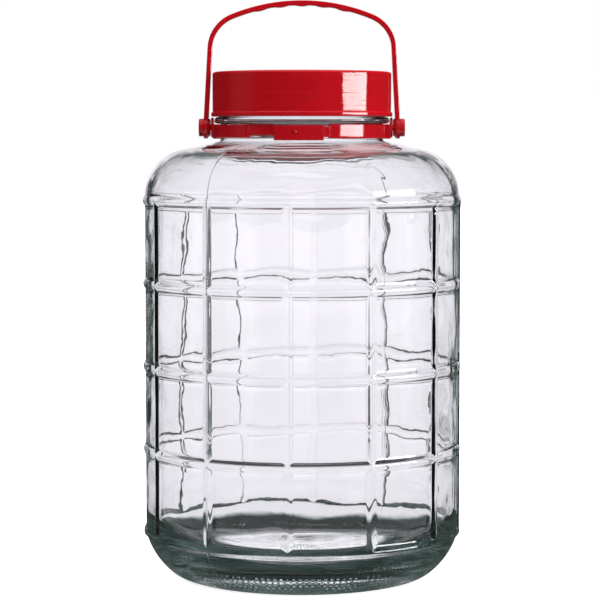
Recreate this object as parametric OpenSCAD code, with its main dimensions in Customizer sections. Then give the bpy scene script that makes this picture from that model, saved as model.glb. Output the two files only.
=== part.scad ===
// A ten litre glass storage jar with a screw lid and a carry handle.
// Millimetres. +Z is up, the origin is the centre of the jar's foot on the table,
// and -Y is the front, where the neck ring's clasp is.

/* [Jar body] */
// Diameter over the plain panels between the ribs
panel_d = 222; // [160:2:280]
// Wall thickness of the body and shoulder
wall = 4; // [3:0.5:6]
// Thickness of the glass in the middle of the base
base_t = 9; // [6:0.5:16]
// Height of the push-up under the base
punt_h = 7; // [3:0.5:14]
// Angle at which the heel leaves the lowest ring
heel_start = 15; // [8:1:25]
// Radius of the upper, larger curve of the heel
heel_r = 50; // [35:1:70]
// Angle at which the heel turns into its smaller foot curve
heel_end = 52; // [42:1:60]
// Radius of the shoulder curve
shoulder_r = 32.5; // [24:0.5:44]
// Slope of the cone from the shoulder up to the neck, in degrees
shoulder_slope = 13; // [6:1:20]

/* [Ribs] */
// Number of ring ribs
ring_count = 5; // [3:1:7]
// Height of the lowest ring rib
ring_low = 32; // [28:1:44]
// Distance between ring ribs
ring_pitch = 58.8; // [46:0.2:70]
// Width of a rib on the panel
rib_w = 7.5; // [5:0.5:10]
// How far a ring rib stands proud
ring_proud = 1.5; // [0.8:0.1:2.4]
// Number of upright ribs
rib_count = 12; // [6:1:18]
// How far an upright rib stands proud
rib_proud = 1.3; // [0.6:0.1:2.2]
// Turn of the first upright rib to the left of the front, in degrees
rib_turn = 5; // [-15:1:15]

/* [Neck and finish] */
// Diameter of the mouth
mouth_d = 107; // [80:1:130]
// Thickness of the glass at the neck groove, where the ring clips in
groove_t = 3.5; // [2.5:0.1:5]
// Height of the neck groove
groove_h = 12.4; // [10:0.2:18]
// How far the bead above the groove stands proud of the groove
bead_proud = 5; // [3.5:0.1:7]
// Height of the bead
bead_h = 4.6; // [3:0.1:7]
// Thickness of the finish wall that carries the thread
finish_t = 4.7; // [3:0.1:6]
// Height of the finish above the bead
finish_h = 28.6; // [22:0.2:40]

/* [Thread] */
// Rise of the thread in one turn
thread_lead = 8; // [7:0.5:12]
// Turns of the thread on the glass
glass_turns = 1.25; // [0.75:0.25:1.75]
// Turns of the thread in the lid
lid_turns = 1; // [0.5:0.25:1.25]
// How far the glass thread stands proud
thread_h = 2.4; // [1.6:0.1:3]
// How far the lid thread's centre lies below the glass thread's
thread_drop = 3; // [2.6:0.1:4]
// Gap between a thread's crest and the wall that it faces
crest_gap = 0.7; // [0.4:0.1:1.2]

/* [Lid] */
// Thickness of the lid's skirt
skirt_t = 1.9; // [1.2:0.1:3]
// Thickness of the lid's top
lid_top_t = 2; // [1.4:0.1:4]
// Height of the rim bead on the lid's lower edge
lid_rim_h = 3.3; // [2:0.1:5]
// How far the rim bead stands proud of the skirt
lid_rim_proud = 0.9; // [0.4:0.1:1.4]
// Radius of the lid's top edge
lid_edge_r = 2; // [1:0.1:3]
// Depth of the shallow dish in the lid's top
dish_depth = 0.7; // [0.3:0.1:1]
// Thickness of the sealing liner
liner_t = 1.1; // [0.8:0.1:2]
// Gap left on each side of the liner
liner_play = 0.1; // [0.05:0.05:0.3]
// Gap between the lid's lower edge and the bead
lid_gap = 0.4; // [0.3:0.1:1.5]

/* [Neck ring] */
// Height of the ring's band
band_h = 10; // [7:0.5:11]
// Thickness of the ring's band
band_t = 2.7; // [2:0.1:4]
// Gap between the ring and the neck groove
band_play = 0.3; // [0.2:0.05:0.6]
// Gap between the ring and the bead above it
bead_play = 0.3; // [0.2:0.05:0.6]
// Extra thickness of the stiff arms beside the left ear and of the clasp
arm_extra = 1.2; // [0.6:0.1:1.8]
// How far each ear stands out past the lid's rim bead
ear_out = 0; // [0:0.1:4]
// Diameter of the ear bosses
ear_d = 14.2; // [12:0.2:18]

/* [Handle] */
// Height of the handle above its pivot
handle_rise = 89.2; // [70:0.2:120]
// Radius of the grip's wide top curve, outside
grip_r = 132; // [110:1:160]
// Radius of the handle's corners, outside
corner_r = 26.5; // [20:0.5:32]
// Lean of the legs towards each other, in degrees
leg_lean = 3; // [0:0.2:4]
// Thickness of the strap
strap_t = 3; // [2.4:0.1:4.4]
// Width of the strap
strap_w = 12; // [9:0.5:15]
// Diameter of the round eye at each end of the strap
eye_d = 15.6; // [13:0.2:20]
// Length of the raised boss on the inside of each eye
eye_boss = 1.9; // [1:0.1:3]
// Gap between an ear and the eye's boss
ear_gap = 0.3; // [0.2:0.05:0.8]
// Number of grip bumps under the strap
bump_count = 5; // [3:1:5]
// Distance between grip bumps
bump_pitch = 14.6; // [11:0.2:15]
// Length of a grip bump
bump_l = 9; // [6:0.5:10]
// Height of a grip bump
bump_h = 0.9; // [0.4:0.1:1.4]

/* [Pivot pins] */
// Diameter of the pin
pin_d = 4.4; // [3.6:0.2:6]
// Radial clearance of the eye's hole on the pin
pin_play = 0.06; // [0.02:0.01:0.1]
// Diameter of the pin's head
pin_head_d = 12.6; // [10:0.2:15]
// Thickness of the pin's head
pin_head_t = 3.4; // [2:0.1:5]
// Gap between the head and the eye
head_gap = 0.1; // [0.05:0.05:0.4]
// Rounding of the head's edge
head_round = 0.9; // [0.4:0.1:1.4]
// Thickness of plastic left behind the pin's tip
ear_floor = 1.2; // [0.8:0.1:2]

/* [Hidden] */

$fn = 96;
tiny = 0.01;
over = 2;
glass_colour = [0.86, 0.92, 0.93, 0.45];
red = [0.78, 0.06, 0.09];
dark_red = [0.62, 0.04, 0.07];
liner_colour = [0.93, 0.93, 0.9];

// Body of the jar
panel_r = panel_d / 2;
ring_top = ring_low + (ring_count - 1) * ring_pitch;
rib_sink = 0.5;
shoulder_x = panel_r - shoulder_r;
shoulder_z = ring_top + rib_w / 2 - rib_sink;
shoulder_a = 90 - shoulder_slope;

// Heel: the large curve starts at the lowest ring, the foot curve ends on the table
heel_z = ring_low - 2 * rib_sink;
heel_x = panel_r - heel_r * cos(heel_start);
heel_cz = heel_z + heel_r * sin(heel_start);
foot_start_x = heel_x + heel_r * cos(heel_end);
foot_start_z = heel_cz - heel_r * sin(heel_end);
foot_r = foot_start_z / (1 - sin(heel_end));
foot_x = foot_start_x - foot_r * cos(heel_end);
land_w = 4;
punt_edge = foot_x - land_w;
punt_flank = 38;
punt_r = 0.8 * punt_h / (1 - cos(punt_flank));

// Neck: the cone ends where a small fillet turns it up into the groove
mouth_r = mouth_d / 2;
neck_r = mouth_r + groove_t;
neck_fillet = 2.6;
cone_x = shoulder_x + shoulder_r * cos(shoulder_a);
cone_z = shoulder_z + shoulder_r * sin(shoulder_a);
fillet_x = neck_r + neck_fillet;
fillet_a = 270 - shoulder_slope;
fillet_top = cone_z + (cone_x - fillet_x + neck_fillet * sin(shoulder_slope)) * tan(shoulder_slope)
    + neck_fillet * cos(shoulder_slope);
bead_z = fillet_top + groove_h - neck_fillet;
bead_r = neck_r + bead_proud;
finish_r = mouth_r + finish_t;
finish_z = bead_z + bead_h;
rim_z = finish_z + finish_h;
rim_r = finish_t / 2;

// Thread: a helix that both threads share, so the lid screws without touching
thread_end_drop = 4;
thread_low = rim_z - thread_end_drop - glass_turns * thread_lead;
crest_r = finish_r + thread_h;
skirt_in = crest_r + crest_gap;
lid_crest_r = finish_r + crest_gap;

// Lid
lid_low = finish_z + lid_gap;
lid_r = skirt_in + skirt_t;
liner_z = rim_z + liner_play;
lid_ceiling = liner_z + liner_t + liner_play;
lid_high = lid_ceiling + lid_top_t;
liner_edge_gap = 0.4;
liner_r = skirt_in - liner_edge_gap;

// Neck ring
band_in = neck_r + band_play;
band_out = band_in + band_t;
band_high = bead_z - bead_play;
band_low = band_high - band_h;
arm_out = band_out + arm_extra;
core_r = band_in - 5;

// Where the ring's raised parts start and end, in degrees from the front towards the right,
// and how far each one's lower and upper edges lie inside the band's
arm_span = [-86, -38];
arm_trim = [0.4, 0.6];
clasp_span = [-20, 14.3];
clasp_trim = [-1.2, 0.8];
tail_span = [13, 18.5];
tail_trim = [1, 1.6];
ear_trim = [-0.3, 0.4];
recess_span = [-39, -18.5];
stud_a = -4.7;
recess_depth = 0.8;
recess_lip = 2.2;

// Pivots of the handle
ear_r = ear_d / 2;
ear_reach = lid_r + lid_rim_proud + ear_out;
ear_headroom = 0.6;
ear_margin = 2;
boss_step = 1.4;
pivot_z = lid_low - ear_headroom - ear_r;
eye_in = ear_reach + ear_gap + eye_boss;
eye_out = eye_in + strap_t;
pin_r = pin_d / 2;
pin_cover = 0.4;
pin_room = bead_z - pin_cover - pivot_z;
pin_tip = pin_r < pin_room ? band_in + ear_floor : bead_r + bead_play + ear_floor / 2;
head_in = eye_out + head_gap;

// Handle outline: two tangent curves and a straight leg on each side
grip_cz = pivot_z + handle_rise - grip_r;
leg_n = [cos(leg_lean), sin(leg_lean)];
leg_u = [-sin(leg_lean), cos(leg_lean)];
eye_from_grip = [eye_out, pivot_z - grip_cz];
corner_a = eye_from_grip * leg_n - corner_r;
corner_b = sqrt(pow(grip_r - corner_r, 2) - pow(corner_a, 2));
corner_x = corner_a * leg_n[0] + corner_b * leg_u[0];
corner_z = grip_cz + corner_a * leg_n[1] + corner_b * leg_u[1];
grip_half = atan2(corner_x, corner_z - grip_cz);
leg_inset = 0.06;
bump_shift = bump_count % 2 == 0 ? 0.5 : 0;

// Points of an arc about [cx, cz] from angle a to angle b
function arc(cx, cz, r, a, b, n = 10) =
    [for (i = [0:n]) let (t = a + (b - a) * i / n) [cx + r * cos(t), cz + r * sin(t)]];

// Points of a half-round rib of width w and height h on the wall at radius r, going up
function rib_arc(r, z, w, h, n = 6) =
    let (rr = (w * w / 4 + h * h) / (2 * h), a = asin(w / 2 / rr))
    arc(r + h - rr, z, rr, -a, a, n);

// One closed ring of points of a screw thread's section at turn angle t
function thread_section(t, r_root, r_crest, half_root, half_crest, z) =
    [for (p = [[r_root, -half_root], [r_crest, -half_crest], [r_crest, half_crest], [r_root, half_root]])
        [p[0] * cos(t), p[0] * sin(t), z + p[1]]];

// A helical ridge that tapers to nothing at both ends
module thread(r_root, r_crest, half_root, half_crest, z_start, t_start, turns) {
    steps = round(turns * 40);
    taper = 4;
    rings = [for (i = [0:steps])
        let (t = t_start + turns * 360 * i / steps,
            full = min(1, min(i, steps - i) / taper),
            r = r_root + (r_crest - r_root) * (0.15 + 0.85 * full))
        thread_section(t, r_root, r, half_root, half_crest, z_start + turns * thread_lead * i / steps)];
    points = [for (ring = rings) for (p = ring) p];
    sides = [for (i = [0:steps - 1]) for (k = [0:3])
        let (a = 4 * i + k, b = 4 * i + (k + 1) % 4)
        each [[a, a + 4, b], [b, a + 4, b + 4]]];
    ends = [[0, 1, 2], [0, 2, 3], [4 * steps, 4 * steps + 2, 4 * steps + 1],
        [4 * steps, 4 * steps + 3, 4 * steps + 2]];
    polyhedron(points = points, faces = concat(sides, ends), convexity = 4);
}

// An arc of the neck ring over a span of angles, trimmed below and above within the band
module band_part(span, trim, r_in, r_out) {
    rotate([0, 0, span[0] - 90])
        rotate_extrude(angle = span[1] - span[0])
            translate([r_in, band_low + trim[0]])
                square([r_out - r_in, band_h - trim[0] - trim[1]]);
}

// How far a grip bump stands out at distance d along the grip from its middle
function bump_at(d) =
    let (nearest = round(d / bump_pitch + bump_shift) - bump_shift,
        u = 2 * (d - nearest * bump_pitch) / bump_l)
    abs(nearest) > (bump_count - 1) / 2 + 0.1 ? 0 : bump_h * max(0, 1 - u * u);

// The strap's outline at depth t below its outer face, from the right pivot to the left one
function strap_line(t, bumps, n) =
    let (foot = [eye_out - t / cos(leg_lean) - leg_inset, pivot_z],
        corner = arc(corner_x, corner_z, corner_r - t, leg_lean, 90 - grip_half, 14),
        grip = [for (i = [1:n - 1])
            let (a = grip_half * (2 * i / n - 1), r = grip_r - t,
                rr = r - bumps * bump_at(a * PI / 180 * r))
            [-rr * sin(a), grip_cz + rr * cos(a)]],
        side = concat([foot], corner))
    concat(side, grip, [for (i = [len(side) - 1:-1:0]) [-side[i][0], side[i][1]]]);

module jar_outside() {
    heel = arc(foot_x, foot_r, foot_r, -90, -heel_end);
    upper_heel = arc(heel_x, heel_cz, heel_r, -heel_end, -heel_start);
    rings = [for (i = [0:ring_count - 1])
        each rib_arc(panel_r, ring_low + i * ring_pitch, rib_w, ring_proud)];
    shoulder = arc(shoulder_x, shoulder_z, shoulder_r, 0, shoulder_a, 14);
    groove = arc(fillet_x, fillet_top, neck_fillet, fillet_a, 180, 5);
    bead_top = arc(bead_r - bead_h / 2, bead_z + bead_h / 2, bead_h / 2, -90, 90, 8);
    rim = arc(mouth_r + rim_r, rim_z - rim_r, rim_r, 0, 90, 5);
    rotate_extrude()
        polygon(concat([[0, 0]], heel, upper_heel, rings, shoulder, groove,
            [[neck_r, bead_z]], bead_top, [[finish_r, finish_z]], rim, [[0, rim_z]]));
}

// The rib is a bar sunk in the wall, so only its rounded face stands proud
module upright_rib() {
    bar_r = (rib_w * rib_w / 4 + rib_proud * rib_proud) / (2 * rib_proud);
    translate([panel_r + rib_proud - bar_r, 0, ring_low + bar_r]) {
        cylinder(r = bar_r, h = ring_top - ring_low - bar_r - 1);
        sphere(r = bar_r);
    }
}

module jar_inside() {
    floor_z = punt_h + base_t;
    heel_in_r = heel_r - 14;
    rim = arc(mouth_r + rim_r, rim_z - rim_r, rim_r, 90, 180, 5);
    neck_foot = [mouth_r, cone_z + (cone_x - mouth_r) * tan(shoulder_slope) - wall];
    under_shoulder = arc(shoulder_x, shoulder_z, shoulder_r - wall, shoulder_a, 0, 12);
    corner = arc(panel_r - wall - heel_in_r, floor_z - 2 + heel_in_r, heel_in_r, 0, -90, 12);
    rotate_extrude()
        polygon(concat([[0, rim_z + 1], [mouth_r + rim_r, rim_z + 1]], rim, [neck_foot],
            under_shoulder, corner, [[0, floor_z]]));
}

// The push-up: a shallow dome with a rounded flank inside the foot's land
module punt() {
    flank = arc(punt_edge - punt_r * sin(punt_flank), -punt_r * cos(punt_flank), punt_r,
        90 - punt_flank, 90, 6);
    rotate_extrude()
        polygon(concat([[0, -1], [punt_edge, -1]], flank, [[0, punt_h]]));
}

module glass_jar() {
    color(glass_colour)
        difference() {
            union() {
                jar_outside();
                for (i = [0:rib_count - 1])
                    rotate([0, 0, -90 - rib_turn + i * 360 / rib_count])
                        upright_rib();
                thread(finish_r - 0.8, crest_r, 2, 0.7, thread_low, 0, glass_turns);
            }
            jar_inside();
            punt();
        }
}

module lid() {
    edge = arc(lid_r - lid_edge_r, lid_high - lid_edge_r, lid_edge_r, 0, 90, 6);
    rim_out = lid_r + lid_rim_proud;
    rim = arc(rim_out - 1, lid_low + lid_rim_h - 1, 1, 0, 90, 4);
    dish_r = lid_r - 9;
    color(red) {
        rotate_extrude()
            polygon(concat([[skirt_in, lid_low], [rim_out - 0.5, lid_low], [rim_out, lid_low + 0.5]], rim,
                [[lid_r, lid_low + lid_rim_h]], edge,
                [[dish_r + dish_depth, lid_high], [dish_r, lid_high - dish_depth],
                [0, lid_high - dish_depth], [0, lid_ceiling], [skirt_in, lid_ceiling]]));
        thread(skirt_in + 0.6, lid_crest_r, 1.5, 0.6,
            thread_low + (glass_turns - lid_turns) * thread_lead - thread_drop,
            (glass_turns - lid_turns) * 360, lid_turns);
    }
}

module lid_liner() {
    color(liner_colour)
        translate([0, 0, liner_z])
            cylinder(r = liner_r, h = liner_t);
}

// An ear on +X: a round boss on a square-ended arm, before the neck and bead are cut away
module ear() {
    translate([core_r, 0, pivot_z])
        rotate([0, 90, 0])
            cylinder(d = ear_d, h = ear_reach - core_r);
    translate([core_r, -ear_r - ear_margin, band_low + ear_trim[0]])
        cube([ear_reach - boss_step - core_r, ear_d + 2 * ear_margin, band_h - ear_trim[0] - ear_trim[1]]);
}

module clasp_stud() {
    stud_r = 1.6;
    stud_tip_r = 1.2;
    stud_h = 1.4;
    stud_sink = 0.5;
    rotate([0, 0, stud_a - 90])
        translate([arm_out - stud_sink, 0, (band_low + band_high) / 2])
            rotate([0, 90, 0])
                cylinder(r1 = stud_r, r2 = stud_tip_r, h = stud_h, $fn = 32);
}

// Room for the neck inside the ring: the groove, its fillet and the cone, each with the ring's play
module neck_room() {
    cone_end = [cone_x + band_play * sin(shoulder_slope), cone_z + band_play * cos(shoulder_slope)];
    fillet = arc(fillet_x, fillet_top, neck_fillet - band_play, fillet_a, 180, 6);
    rotate_extrude()
        polygon(concat([[0, shoulder_z], [cone_x, shoulder_z], cone_end], fillet,
            [[band_in, rim_z], [0, rim_z]]));
}

module neck_ring() {
    recess_out = arm_out + over;
    color(dark_red)
        difference() {
            union() {
                translate([0, 0, band_low])
                    cylinder(r = band_out, h = band_h + 1);
                band_part(arm_span, arm_trim, core_r, arm_out);
                band_part(clasp_span, clasp_trim, core_r, arm_out);
                band_part(tail_span, tail_trim, core_r, band_out + arm_extra / 2);
                clasp_stud();
                for (side = [0, 180])
                    rotate([0, 0, side])
                        ear();
            }
            band_part(recess_span, [-over, -over], band_out - recess_depth, recess_out);
            band_part(recess_span, [-over, band_h - recess_lip], core_r, recess_out);
            neck_room();
            translate([0, 0, band_high])
                cylinder(r = bead_r + bead_play, h = ear_d);
            for (side = [0, 180])
                rotate([0, 0, side])
                    translate([pin_tip, 0, pivot_z])
                        rotate([0, 90, 0])
                            cylinder(r = pin_r, h = ear_reach);
        }
}

module eye() {
    translate([eye_in, 0, pivot_z])
        rotate([0, 90, 0])
            cylinder(d = eye_d, h = strap_t);
    translate([eye_in - eye_boss, 0, pivot_z])
        rotate([0, 90, 0])
            cylinder(r1 = ear_r - boss_step, r2 = ear_r, h = eye_boss + tiny);
}

module handle() {
    outer = strap_line(0, 0, 20);
    inner = strap_line(strap_t, 1, 64);
    last = len(inner) - 1;
    color(red)
        difference() {
            union() {
                rotate([90, 0, 0])
                    linear_extrude(height = strap_w, center = true)
                        polygon(concat(outer, [for (i = [last:-1:0]) inner[i]]));
                eye();
                mirror([1, 0, 0])
                    eye();
            }
            translate([-eye_out - 1, 0, pivot_z])
                rotate([0, 90, 0])
                    cylinder(r = pin_r + pin_play, h = 2 * eye_out + 2);
        }
}

// A headed pin on +X: the shank sits in the ear and the eye turns on it
module pivot_pin() {
    head_r = pin_head_d / 2;
    tip = pin_tip - head_in;
    crown = 0.2;
    dome = arc(head_r - head_round, pin_head_t - head_round, head_round, 0, 90, 5);
    color(dark_red)
        translate([head_in, 0, pivot_z])
            rotate([0, 90, 0])
                rotate_extrude()
                    polygon(concat([[0, tip], [pin_r, tip], [pin_r, 0], [head_r, 0]],
                        dome, [[0, pin_head_t + crown]]));
}

module pivot_pin_right() {
    pivot_pin();
}

module pivot_pin_left() {
    mirror([1, 0, 0])
        pivot_pin();
}

glass_jar();
lid();
lid_liner();
neck_ring();
handle();
pivot_pin_left();
pivot_pin_right();
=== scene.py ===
"""A ten litre ribbed glass jar with a red screw lid and a strap handle.

These are its looks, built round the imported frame.
"""
import math

import bpy
import numpy as np
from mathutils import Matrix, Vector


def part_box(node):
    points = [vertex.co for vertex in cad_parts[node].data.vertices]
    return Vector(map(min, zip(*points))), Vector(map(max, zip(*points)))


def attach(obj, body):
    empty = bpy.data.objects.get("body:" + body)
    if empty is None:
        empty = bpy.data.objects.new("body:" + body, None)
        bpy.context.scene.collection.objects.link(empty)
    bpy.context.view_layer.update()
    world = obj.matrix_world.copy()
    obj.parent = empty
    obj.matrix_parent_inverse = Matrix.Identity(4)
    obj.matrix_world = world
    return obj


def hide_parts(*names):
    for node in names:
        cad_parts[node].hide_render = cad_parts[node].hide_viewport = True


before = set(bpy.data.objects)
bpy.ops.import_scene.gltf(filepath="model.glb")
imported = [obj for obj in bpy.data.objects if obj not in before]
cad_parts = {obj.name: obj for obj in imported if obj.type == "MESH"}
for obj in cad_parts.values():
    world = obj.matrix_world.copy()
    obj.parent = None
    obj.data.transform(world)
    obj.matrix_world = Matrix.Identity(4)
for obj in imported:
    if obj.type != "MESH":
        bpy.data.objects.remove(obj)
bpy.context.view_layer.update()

MM = 0.001
TAU = 2 * math.pi
TOUCHING = 1e-6
MOST_OF_HALF = 0.45


# ---------------------------------------------------------------- sizes, in millimetres, from the frame
def size_of(node):
    """The node's lowest and highest corners in millimetres."""
    low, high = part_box(node)
    return [v / MM for v in low], [v / MM for v in high]


_, jar_high = size_of("glass_jar")
lid_low, lid_high = size_of("lid")
_, band_high = size_of("neck_ring")
_, strap_high = size_of("handle")
pin_low, pin_high = size_of("pivot_pin_right")
liner_low, liner_high = size_of("lid_liner")

# Jar body and ribs
RING_PROUD = 1.5
RIB_PROUD = 1.3
RIB_W = 7.5
PANEL_R = jar_high[0] - RING_PROUD
RING_LOW = 32.0
RING_PITCH = 58.8
RING_COUNT = 5
RING_TOP = RING_LOW + (RING_COUNT - 1) * RING_PITCH
RIB_COUNT = 12
RIB_TURN = -5.0
SEAM_TURN = -35.0
RIB_SINK = 0.5
WALL = 4.0

# Heel and push-up
HEEL_R = 50.0
HEEL_IN_R = HEEL_R - 14
HEEL_START = 15.0
HEEL_END = 52.0
LAND_W = 4.0
PUNT_H = 7.0
PUNT_FLANK = 38
BASE_T = 9.0
FLOOR_DISH = 2

# Shoulder, neck and finish, measured down from the rim
RIM_Z = jar_high[2]
MOUTH_R = 53.5
NECK_R = 57.0
FINISH_R = 58.2
GROOVE_H = 12.4
BEAD_PROUD = 5.0
BEAD_H = 4.6
FINISH_H = 28.6
SHOULDER_R = 32.5
SHOULDER_SLOPE = 13.0
CONE_RISE = math.tan(math.radians(SHOULDER_SLOPE))
NECK_FILLET = 2.6
THREAD_LEAD = 8.0
THREAD_TURNS = 1.25
THREAD_PROUD = 2.4
THREAD_END_DROP = 4
THREAD_LOW = RIM_Z - THREAD_END_DROP - THREAD_TURNS * THREAD_LEAD
SHOULDER_X = PANEL_R - SHOULDER_R
SHOULDER_Z = RING_TOP + RIB_W / 2 - RIB_SINK

# Lid
LID_LOW = lid_low[2]
LID_HIGH = lid_high[2]
LID_RIM_PROUD = 0.9
LID_RIM_H = 3.3
LID_R = lid_high[0] - LID_RIM_PROUD
LID_SKIRT_T = 1.9
LID_SKIRT_IN = LID_R - LID_SKIRT_T
LID_CEILING = liner_high[2] + 0.1
LID_DISH_R = LID_R - 9
LID_DISH_DEPTH = 0.7
LID_EDGE_R = 2
LID_THREAD_START = 90
LID_THREAD_DROP = 3

# Neck ring
BEAD_Z = RIM_Z - FINISH_H - BEAD_H
BEAD_R = NECK_R + BEAD_PROUD
BAND_PLAY = 0.3
BAND_H = 10
BAND_IN = NECK_R + BAND_PLAY
BAND_OUT = BAND_IN + 2.7
ARM_OUT = BAND_OUT + 1.2
BAND_HIGH = BEAD_Z - BAND_PLAY
BAND_LOW = BAND_HIGH - BAND_H
BAND_MID = (BAND_LOW + BAND_HIGH) / 2
FILLET_X = NECK_R + NECK_FILLET
FILLET_TOP = BEAD_Z - GROOVE_H + NECK_FILLET
EAR_R = 7.1
EAR_OUT = band_high[0]
BOSS_STEP = 1.4
STUD_TURN = -4.7

# Where the ring's stiff arm, recess, clasp and clasp tail meet, in degrees from the front towards the right
ARM_FROM, ARM_TO, CLASP_FROM, CLASP_TO, TAIL_TO = -86, -38.9, -18.5, 14.3, 18.5

# Pivot and handle
PIVOT_Z = (pin_low[2] + pin_high[2]) / 2
HEAD_R = (pin_high[2] - pin_low[2]) / 2
PIN_R = 2.2
PIN_TIP = pin_low[0]
PIN_OUT = pin_high[0]
HEAD_H = 3.6
HEAD_IN = PIN_OUT - HEAD_H
PIN_PLAY = 0.06
HANDLE_TOP = strap_high[2]
STRAP_T = 3.0
EYE_OUT = strap_high[0]
EYE_IN = EYE_OUT - STRAP_T
EYE_R = 7.8
EYE_BOSS = 1.9
STRAP_W = 12.0
GRIP_R = 132.0
CORNER_R = 26.5
LEG_LEAN = 3.0
BUMP_COUNT = 5
BUMP_PITCH = 14.6
BUMP_L = 11.0
BUMP_H = 0.75
LEG_SWELL = 0.3
LEG_INSET = 0.06


# ---------------------------------------------------------------- geometry helpers
def arc(cx, cz, r, start, end, n):
    """n + 1 points of an arc in degrees, as (radius, height) pairs."""
    t = np.radians(np.linspace(start, end, n + 1))
    return [(cx + r * math.cos(a), cz + r * math.sin(a)) for a in t]


def fine(points, step):
    """The same outline with no stretch longer than step."""
    out = [points[0]]
    for a, b in zip(points, points[1:]):
        d = math.dist(a, b)
        if d < TOUCHING:
            continue
        n = max(1, math.ceil(d / step))
        out += [(a[0] + (b[0] - a[0]) * i / n, a[1] + (b[1] - a[1]) * i / n) for i in range(1, n + 1)]
    return out


def rounded(points, radius, n=4):
    """An outline whose inner corners are rounded to radius, limited by the stretches beside them."""
    out = [points[0]]
    for p, q, s in zip(points, points[1:], points[2:]):
        p, q, s = np.array(p, float), np.array(q, float), np.array(s, float)
        a, b = p - q, s - q
        la, lb = np.linalg.norm(a), np.linalg.norm(b)
        r = min(radius, la * MOST_OF_HALF, lb * MOST_OF_HALF)
        for i in range(n + 1):
            t = i / n
            out.append(tuple(q + (1 - t) ** 2 * r * a / la + t * t * r * b / lb))
    return out + [points[-1]]


def new_mesh(name, verts, faces):
    """An object with smooth faces that point outwards, from points in millimetres."""
    mesh = bpy.data.meshes.new(name)
    mesh.from_pydata((np.asarray(verts, float) * MM).tolist(), [], faces)
    mesh.validate()
    v = np.asarray(verts, float)
    fans = np.array([(f[0], f[i], f[i + 1]) for f in faces for i in range(1, len(f) - 1)])
    volume = np.einsum("ij,ij->", v[fans[:, 0]], np.cross(v[fans[:, 1]], v[fans[:, 2]]))
    if volume < 0:
        mesh.flip_normals()
    mesh.polygons.foreach_set("use_smooth", [True] * len(mesh.polygons))
    mesh.update()
    obj = bpy.data.objects.new(name, mesh)
    bpy.context.scene.collection.objects.link(obj)
    return obj


def grid_faces(rows, cols, wrap_rows=False):
    """Quads between neighbouring rows of points, each row a closed ring."""
    last = rows if wrap_rows else rows - 1
    i, j = np.meshgrid(np.arange(last), np.arange(cols), indexing="ij")
    i2, j2 = (i + 1) % rows, (j + 1) % cols
    quads = np.stack([i * cols + j, i * cols + j2, i2 * cols + j2, i2 * cols + j], -1).reshape(-1, 4)
    return [tuple(q) for q in quads.tolist()]


def revolve(name, outline, angles, shape=None, place=None):
    """A closed body turned from an outline that starts and ends on the axis.

    shape(angle, radius, height) gives the change of radius and height at each point,
    and place(points) moves the finished points, such as onto another axis.
    """
    inner = np.array(outline[1:-1])
    a = np.asarray(angles)[None, :]
    r = np.repeat(inner[:, :1], a.shape[1], 1)
    z = np.repeat(inner[:, 1:], a.shape[1], 1)
    if shape:
        dr, dz = shape(np.repeat(a, len(inner), 0), r, z)
        r, z = r + dr, z + dz
    rows, cols = r.shape
    ring = np.stack([r * np.cos(a), r * np.sin(a), z], -1).reshape(-1, 3)
    poles = np.array([[0, 0, outline[0][1]], [0, 0, outline[-1][1]]])
    first, last = rows * cols, rows * cols + 1
    faces = grid_faces(rows, cols)
    faces += [(first, (j + 1) % cols, j) for j in range(cols)]
    faces += [(last, (rows - 1) * cols + j, (rows - 1) * cols + (j + 1) % cols) for j in range(cols)]
    points = np.vstack([ring, poles])
    return new_mesh(name, place(points) if place else points, faces)


def along_x(side):
    """A move that lays a turned body's axis along X through the handle's pivot, on one side."""
    return lambda p: np.stack([side * p[:, 2], p[:, 1], PIVOT_Z + p[:, 0]], -1)


def combine(base, others, operation="UNION"):
    """The base with other closed bodies joined to it or cut from it."""
    for other in others:
        cut = base.modifiers.new("combine", "BOOLEAN")
        cut.operation, cut.object, cut.solver = operation, other, "EXACT"
    graph = bpy.context.evaluated_depsgraph_get()
    mesh = bpy.data.meshes.new_from_object(base.evaluated_get(graph))
    base.modifiers.clear()
    base.data = mesh
    for other in others:
        bpy.data.objects.remove(other)
    return base


def crease(obj, degrees=32):
    """Smooth shading, with creases where the faces meet at more than this angle."""
    obj.data.polygons.foreach_set("use_smooth", [True] * len(obj.data.polygons))
    obj.data.set_sharp_from_angle(angle=math.radians(degrees))


def round_rib(u, half, proud):
    """The rise of a half-round rib of this half width and height, u half widths from its middle."""
    r = (half * half + proud * proud) / (2 * proud)
    return np.maximum(0, np.sqrt(np.maximum(r * r - (u * half) ** 2, 0)) - (r - proud)) * (np.abs(u) < 1)


def bump(u):
    """A smooth half-round rise: 1 in the middle, 0 from u = 1 outwards."""
    softness = 1.4
    return np.clip(1 - u * u, 0, 1) ** softness


def smooth_step(x, low, high):
    """0 below low, 1 above high, smooth between them."""
    t = np.clip((x - low) / (high - low), 0, 1)
    return t * t * (3 - 2 * t)


def waves(x, y, z, length, seed, count=7):
    """Smooth, repeatable unevenness between about -1 and 1, with the given wavelength."""
    rng = np.random.RandomState(seed)
    total = 0.0
    for _ in range(count):
        d = rng.normal(size=3)
        d *= rng.uniform(0.6, 1.5) / np.linalg.norm(d)
        total = total + np.sin((d[0] * x + d[1] * y + d[2] * z) * TAU / length + rng.uniform(0, TAU))
    return total / math.sqrt(count)


def even_angles(n):
    """n angles spread evenly over a full turn."""
    return np.linspace(0, TAU, n + 1)[:-1]


def sin_of(degrees):
    return math.sin(math.radians(degrees))


def cos_of(degrees):
    return math.cos(math.radians(degrees))


def signed_turn(degrees):
    """The same angle between -180 and 180 degrees."""
    return (degrees + 180) % 360 - 180


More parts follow.
